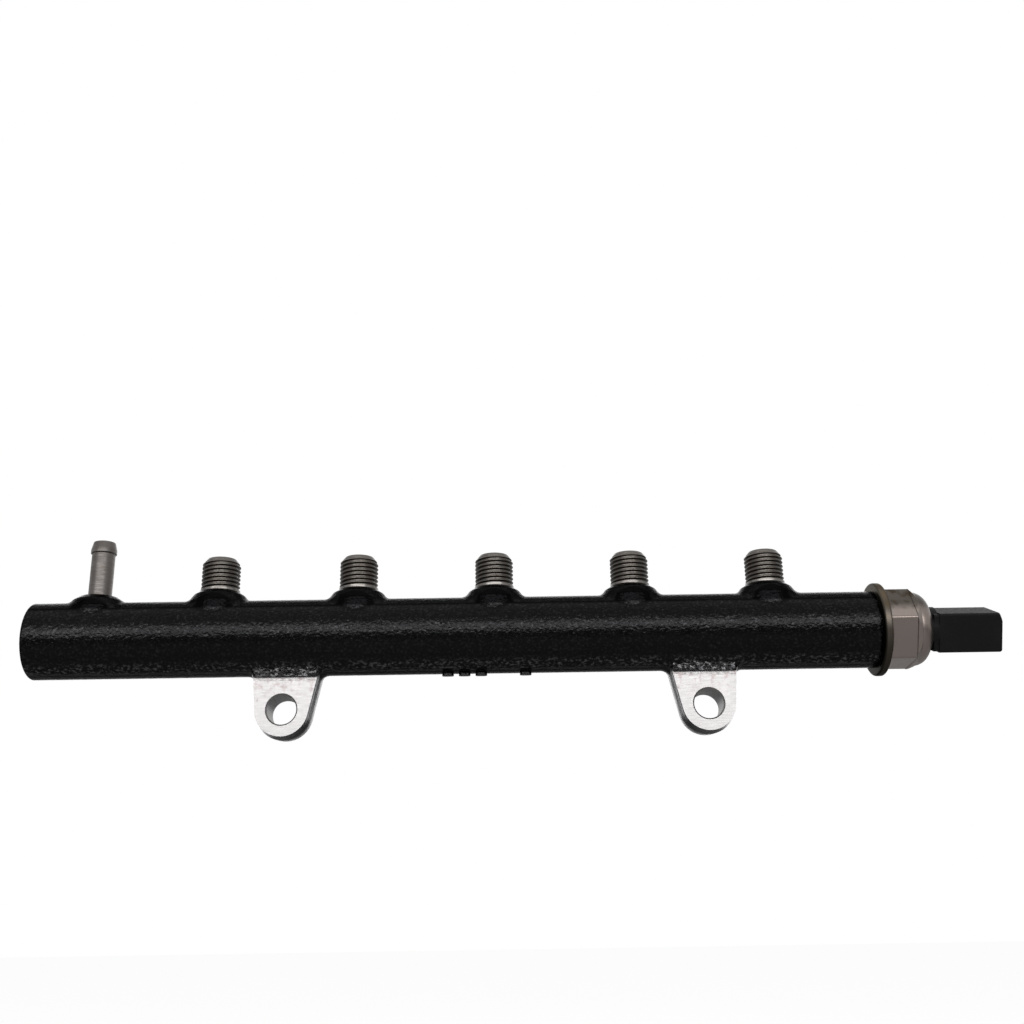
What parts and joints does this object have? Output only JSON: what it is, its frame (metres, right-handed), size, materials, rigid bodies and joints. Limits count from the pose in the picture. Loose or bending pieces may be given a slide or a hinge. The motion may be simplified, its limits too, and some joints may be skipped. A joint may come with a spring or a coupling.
{
  "type": "fuel rail",
  "caption": "Forged black high-pressure diesel fuel rail with threaded outlet stubs, return nipple, two mounting ears and a screw-in pressure sensor.",
  "frame": {"origin": "midway between the two ear bolts, on the milled faces of the ears", "axes": "+X along the rail towards the sensor, +Z the way the stubs point, -Y out of the milled ear faces"},
  "size_m": [0.3506, 0.0338, 0.0743],
  "materials": {
    "body_paint": "semi-gloss black coating on forged steel",
    "nipple_steel": "dull plated steel",
    "plug_steel": "plated steel",
    "seal_copper": "soft copper",
    "valve_steel": "ground hardened steel",
    "spring_steel": "oiled spring steel",
    "gasket_iron": "soft iron",
    "sensor_steel": "turned stainless steel",
    "shell_steel": "satin nickel-plated drawn steel",
    "carrier_plastic": "moulded",
    "board_laminate": "printed circuit board",
    "contact_brass": "tinned brass",
    "socket_plastic": "moulded, satin",
    "seal_rubber": "moulded"
  },
  "bodies": {
    "rail": {"rail_body": "body_paint", "return_nipple": "nipple_steel", "end_plug": "plug_steel", "plug_seal": "seal_copper", "limiter_shim": "valve_steel", "limiter_seat": "valve_steel", "limiter_spring": "spring_steel", "sensor_gasket": "gasket_iron", "sensor_port": "sensor_steel", "pressure_cell": "sensor_steel", "sensor_shell": "shell_steel", "board_carrier": "carrier_plastic", "sensor_board": "board_laminate", "contact_springs": "contact_brass", "sensor_connector": "socket_plastic", "terminal_1": "contact_brass", "terminal_2": "contact_brass", "terminal_3": "contact_brass", "connector_seal": "seal_rubber"},
    "limiter_valve": {"limiter_plunger": "valve_steel", "limiter_ball": "valve_steel"}
  },
  "joints": [
    {"name": "limiter_lift", "type": "slide", "parent": "rail", "child": "limiter_valve", "axis": [-1, 0, 0], "range_m": [0, 0.0008], "stiffness_N_per_m": 17000, "deforming": ["limiter_spring"]}
  ]
}
